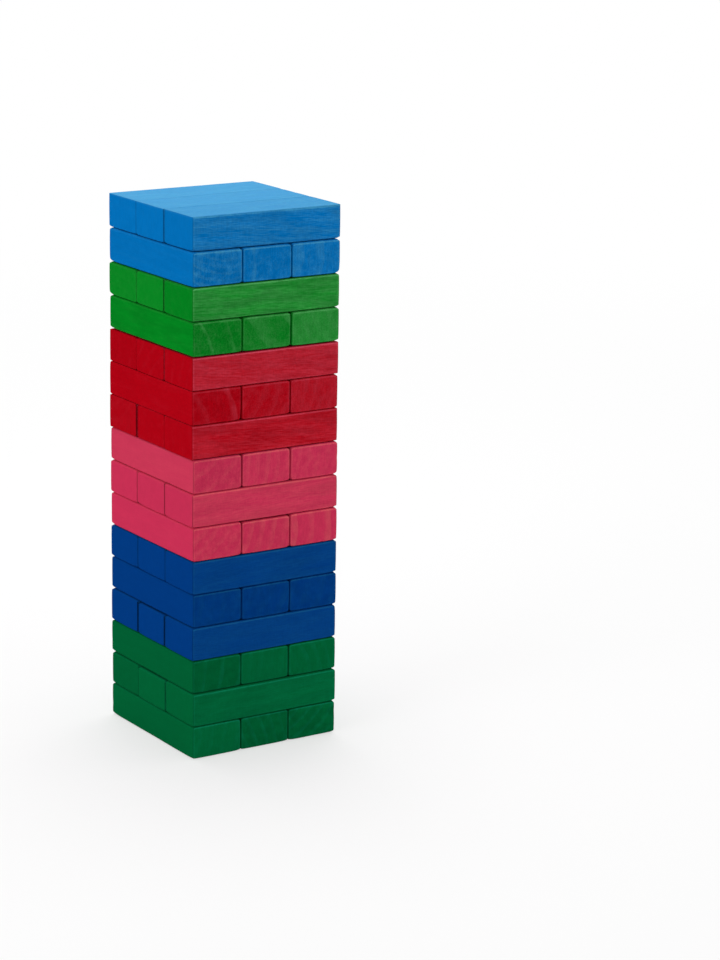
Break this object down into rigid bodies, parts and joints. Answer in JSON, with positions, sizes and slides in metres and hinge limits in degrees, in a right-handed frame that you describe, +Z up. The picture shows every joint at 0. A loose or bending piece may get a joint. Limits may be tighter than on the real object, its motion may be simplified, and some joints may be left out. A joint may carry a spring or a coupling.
{
  "type": "tumbling tower game",
  "caption": "Free-standing stacking game: painted wooden blocks laid in crossed rows, banded by colour, each block free to slide or lift out.",
  "frame": {"origin": "on the table, at the middle of the tower's base", "axes": "+Z up; -Y is the wider side in the picture, which shows the ends of the odd rows; -X is the narrower side, which shows the ends of the even rows"},
  "size_m": [0.0758, 0.076, 0.2447],
  "materials": {
    "dark_green": "even matt paint, thin enough for the grain to show; edges eased",
    "dark_blue": "even matt paint, thin enough for the grain to show; edges eased",
    "pink": "even matt paint, thin enough for the grain to show; edges eased",
    "red": "even matt paint, thin enough for the grain to show; edges eased",
    "bright_green": "even matt paint, thin enough for the grain to show; edges eased",
    "sky_blue": "even matt paint, thin enough for the grain to show; edges eased"
  },
  "bodies": {
    "row_01_left": {"row_01_left": "dark_green"},
    "row_01_middle": {"row_01_middle": "dark_green"},
    "row_01_right": {"row_01_right": "dark_green"},
    "row_02_front": {"row_02_front": "dark_green"},
    "row_02_middle": {"row_02_middle": "dark_green"},
    "row_02_back": {"row_02_back": "dark_green"},
    "row_03_left": {"row_03_left": "dark_green"},
    "row_03_middle": {"row_03_middle": "dark_green"},
    "row_03_right": {"row_03_right": "dark_green"},
    "row_04_front": {"row_04_front": "dark_blue"},
    "row_04_middle": {"row_04_middle": "dark_blue"},
    "row_04_back": {"row_04_back": "dark_blue"},
    "row_05_left": {"row_05_left": "dark_blue"},
    "row_05_middle": {"row_05_middle": "dark_blue"},
    "row_05_right": {"row_05_right": "dark_blue"},
    "row_06_front": {"row_06_front": "dark_blue"},
    "row_06_middle": {"row_06_middle": "dark_blue"},
    "row_06_back": {"row_06_back": "dark_blue"},
    "row_07_left": {"row_07_left": "pink"},
    "row_07_middle": {"row_07_middle": "pink"},
    "row_07_right": {"row_07_right": "pink"},
    "row_08_front": {"row_08_front": "pink"},
    "row_08_middle": {"row_08_middle": "pink"},
    "row_08_back": {"row_08_back": "pink"},
    "row_09_left": {"row_09_left": "pink"},
    "row_09_middle": {"row_09_middle": "pink"},
    "row_09_right": {"row_09_right": "pink"},
    "row_10_front": {"row_10_front": "red"},
    "row_10_middle": {"row_10_middle": "red"},
    "row_10_back": {"row_10_back": "red"},
    "row_11_left": {"row_11_left": "red"},
    "row_11_middle": {"row_11_middle": "red"},
    "row_11_right": {"row_11_right": "red"},
    "row_12_front": {"row_12_front": "red"},
    "row_12_middle": {"row_12_middle": "red"},
    "row_12_back": {"row_12_back": "red"},
    "row_13_left": {"row_13_left": "bright_green"},
    "row_13_middle": {"row_13_middle": "bright_green"},
    "row_13_right": {"row_13_right": "bright_green"},
    "row_14_front": {"row_14_front": "bright_green"},
    "row_14_middle": {"row_14_middle": "bright_green"},
    "row_14_back": {"row_14_back": "bright_green"},
    "row_15_left": {"row_15_left": "sky_blue"},
    "row_15_middle": {"row_15_middle": "sky_blue"},
    "row_15_right": {"row_15_right": "sky_blue"},
    "row_16_front": {"row_16_front": "sky_blue"},
    "row_16_middle": {"row_16_middle": "sky_blue"},
    "row_16_back": {"row_16_back": "sky_blue"}
  },
  "joints": [
    {"name": "row_01_left_slide", "type": "slide", "parent": "row_01_middle", "child": "row_01_left", "axis": [0, 1, 0], "range_m": [-0.08, 0.08]},
    {"name": "row_01_right_slide", "type": "slide", "parent": "row_01_middle", "child": "row_01_right", "axis": [0, 1, 0], "range_m": [-0.08, 0.08]},
    {"name": "row_02_front_slide", "type": "slide", "parent": "row_01_middle", "child": "row_02_front", "axis": [1, 0, 0], "range_m": [-0.08, 0.08]},
    {"name": "row_02_middle_slide", "type": "slide", "parent": "row_01_middle", "child": "row_02_middle", "axis": [1, 0, 0], "range_m": [-0.08, 0.08]},
    {"name": "row_02_back_slide", "type": "slide", "parent": "row_01_middle", "child": "row_02_back", "axis": [1, 0, 0], "range_m": [-0.08, 0.08]},
    {"name": "row_03_left_slide", "type": "slide", "parent": "row_01_middle", "child": "row_03_left", "axis": [0, 1, 0], "range_m": [-0.08, 0.08]},
    {"name": "row_03_middle_slide", "type": "slide", "parent": "row_01_middle", "child": "row_03_middle", "axis": [0, 1, 0], "range_m": [-0.08, 0.08]},
    {"name": "row_03_right_slide", "type": "slide", "parent": "row_01_middle", "child": "row_03_right", "axis": [0, 1, 0], "range_m": [-0.08, 0.08]},
    {"name": "row_04_front_slide", "type": "slide", "parent": "row_01_middle", "child": "row_04_front", "axis": [1, 0, 0], "range_m": [-0.08, 0.08]},
    {"name": "row_04_middle_slide", "type": "slide", "parent": "row_01_middle", "child": "row_04_middle", "axis": [1, 0, 0], "range_m": [-0.08, 0.08]},
    {"name": "row_04_back_slide", "type": "slide", "parent": "row_01_middle", "child": "row_04_back", "axis": [1, 0, 0], "range_m": [-0.08, 0.08]},
    {"name": "row_05_left_slide", "type": "slide", "parent": "row_01_middle", "child": "row_05_left", "axis": [0, 1, 0], "range_m": [-0.08, 0.08]},
    {"name": "row_05_middle_slide", "type": "slide", "parent": "row_01_middle", "child": "row_05_middle", "axis": [0, 1, 0], "range_m": [-0.08, 0.08]},
    {"name": "row_05_right_slide", "type": "slide", "parent": "row_01_middle", "child": "row_05_right", "axis": [0, 1, 0], "range_m": [-0.08, 0.08]},
    {"name": "row_06_front_slide", "type": "slide", "parent": "row_01_middle", "child": "row_06_front", "axis": [1, 0, 0], "range_m": [-0.08, 0.08]},
    {"name": "row_06_middle_slide", "type": "slide", "parent": "row_01_middle", "child": "row_06_middle", "axis": [1, 0, 0], "range_m": [-0.08, 0.08]},
    {"name": "row_06_back_slide", "type": "slide", "parent": "row_01_middle", "child": "row_06_back", "axis": [1, 0, 0], "range_m": [-0.08, 0.08]},
    {"name": "row_07_left_slide", "type": "slide", "parent": "row_01_middle", "child": "row_07_left", "axis": [0, 1, 0], "range_m": [-0.08, 0.08]},
    {"name": "row_07_middle_slide", "type": "slide", "parent": "row_01_middle", "child": "row_07_middle", "axis": [0, 1, 0], "range_m": [-0.08, 0.08]},
    {"name": "row_07_right_slide", "type": "slide", "parent": "row_01_middle", "child": "row_07_right", "axis": [0, 1, 0], "range_m": [-0.08, 0.08]},
    {"name": "row_08_front_slide", "type": "slide", "parent": "row_01_middle", "child": "row_08_front", "axis": [1, 0, 0], "range_m": [-0.08, 0.08]},
    {"name": "row_08_middle_slide", "type": "slide", "parent": "row_01_middle", "child": "row_08_middle", "axis": [1, 0, 0], "range_m": [-0.08, 0.08]},
    {"name": "row_08_back_slide", "type": "slide", "parent": "row_01_middle", "child": "row_08_back", "axis": [1, 0, 0], "range_m": [-0.08, 0.08]},
    {"name": "row_09_left_slide", "type": "slide", "parent": "row_01_middle", "child": "row_09_left", "axis": [0, 1, 0], "range_m": [-0.08, 0.08]},
    {"name": "row_09_middle_slide", "type": "slide", "parent": "row_01_middle", "child": "row_09_middle", "axis": [0, 1, 0], "range_m": [-0.08, 0.08]},
    {"name": "row_09_right_slide", "type": "slide", "parent": "row_01_middle", "child": "row_09_right", "axis": [0, 1, 0], "range_m": [-0.08, 0.08]},
    {"name": "row_10_front_slide", "type": "slide", "parent": "row_01_middle", "child": "row_10_front", "axis": [1, 0, 0], "range_m": [-0.08, 0.08]},
    {"name": "row_10_middle_slide", "type": "slide", "parent": "row_01_middle", "child": "row_10_middle", "axis": [1, 0, 0], "range_m": [-0.08, 0.08]},
    {"name": "row_10_back_slide", "type": "slide", "parent": "row_01_middle", "child": "row_10_back", "axis": [1, 0, 0], "range_m": [-0.08, 0.08]},
    {"name": "row_11_left_slide", "type": "slide", "parent": "row_01_middle", "child": "row_11_left", "axis": [0, 1, 0], "range_m": [-0.08, 0.08]},
    {"name": "row_11_middle_slide", "type": "slide", "parent": "row_01_middle", "child": "row_11_middle", "axis": [0, 1, 0], "range_m": [-0.08, 0.08]},
    {"name": "row_11_right_slide", "type": "slide", "parent": "row_01_middle", "child": "row_11_right", "axis": [0, 1, 0], "range_m": [-0.08, 0.08]},
    {"name": "row_12_front_slide", "type": "slide", "parent": "row_01_middle", "child": "row_12_front", "axis": [1, 0, 0], "range_m": [-0.08, 0.08]},
    {"name": "row_12_middle_slide", "type": "slide", "parent": "row_01_middle", "child": "row_12_middle", "axis": [1, 0, 0], "range_m": [-0.08, 0.08]},
    {"name": "row_12_back_slide", "type": "slide", "parent": "row_01_middle", "child": "row_12_back", "axis": [1, 0, 0], "range_m": [-0.08, 0.08]},
    {"name": "row_13_left_slide", "type": "slide", "parent": "row_01_middle", "child": "row_13_left", "axis": [0, 1, 0], "range_m": [-0.08, 0.08]},
    {"name": "row_13_middle_slide", "type": "slide", "parent": "row_01_middle", "child": "row_13_middle", "axis": [0, 1, 0], "range_m": [-0.08, 0.08]},
    {"name": "row_13_right_slide", "type": "slide", "parent": "row_01_middle", "child": "row_13_right", "axis": [0, 1, 0], "range_m": [-0.08, 0.08]},
    {"name": "row_14_front_slide", "type": "slide", "parent": "row_01_middle", "child": "row_14_front", "axis": [1, 0, 0], "range_m": [-0.08, 0.08]},
    {"name": "row_14_middle_slide", "type": "slide", "parent": "row_01_middle", "child": "row_14_middle", "axis": [1, 0, 0], "range_m": [-0.08, 0.08]},
    {"name": "row_14_back_slide", "type": "slide", "parent": "row_01_middle", "child": "row_14_back", "axis": [1, 0, 0], "range_m": [-0.08, 0.08]},
    {"name": "row_15_left_slide", "type": "slide", "parent": "row_01_middle", "child": "row_15_left", "axis": [0, 1, 0], "range_m": [-0.08, 0.08]},
    {"name": "row_15_middle_slide", "type": "slide", "parent": "row_01_middle", "child": "row_15_middle", "axis": [0, 1, 0], "range_m": [-0.08, 0.08]},
    {"name": "row_15_right_slide", "type": "slide", "parent": "row_01_middle", "child": "row_15_right", "axis": [0, 1, 0], "range_m": [-0.08, 0.08]},
    {"name": "row_16_front_lift", "type": "slide", "parent": "row_01_middle", "child": "row_16_front", "axis": [0, 0, 1], "range_m": [0, 0.03]},
    {"name": "row_16_middle_lift", "type": "slide", "parent": "row_01_middle", "child": "row_16_middle", "axis": [0, 0, 1], "range_m": [0, 0.03]},
    {"name": "row_16_back_lift", "type": "slide", "parent": "row_01_middle", "child": "row_16_back", "axis": [0, 0, 1], "range_m": [0, 0.03]}
  ]
}
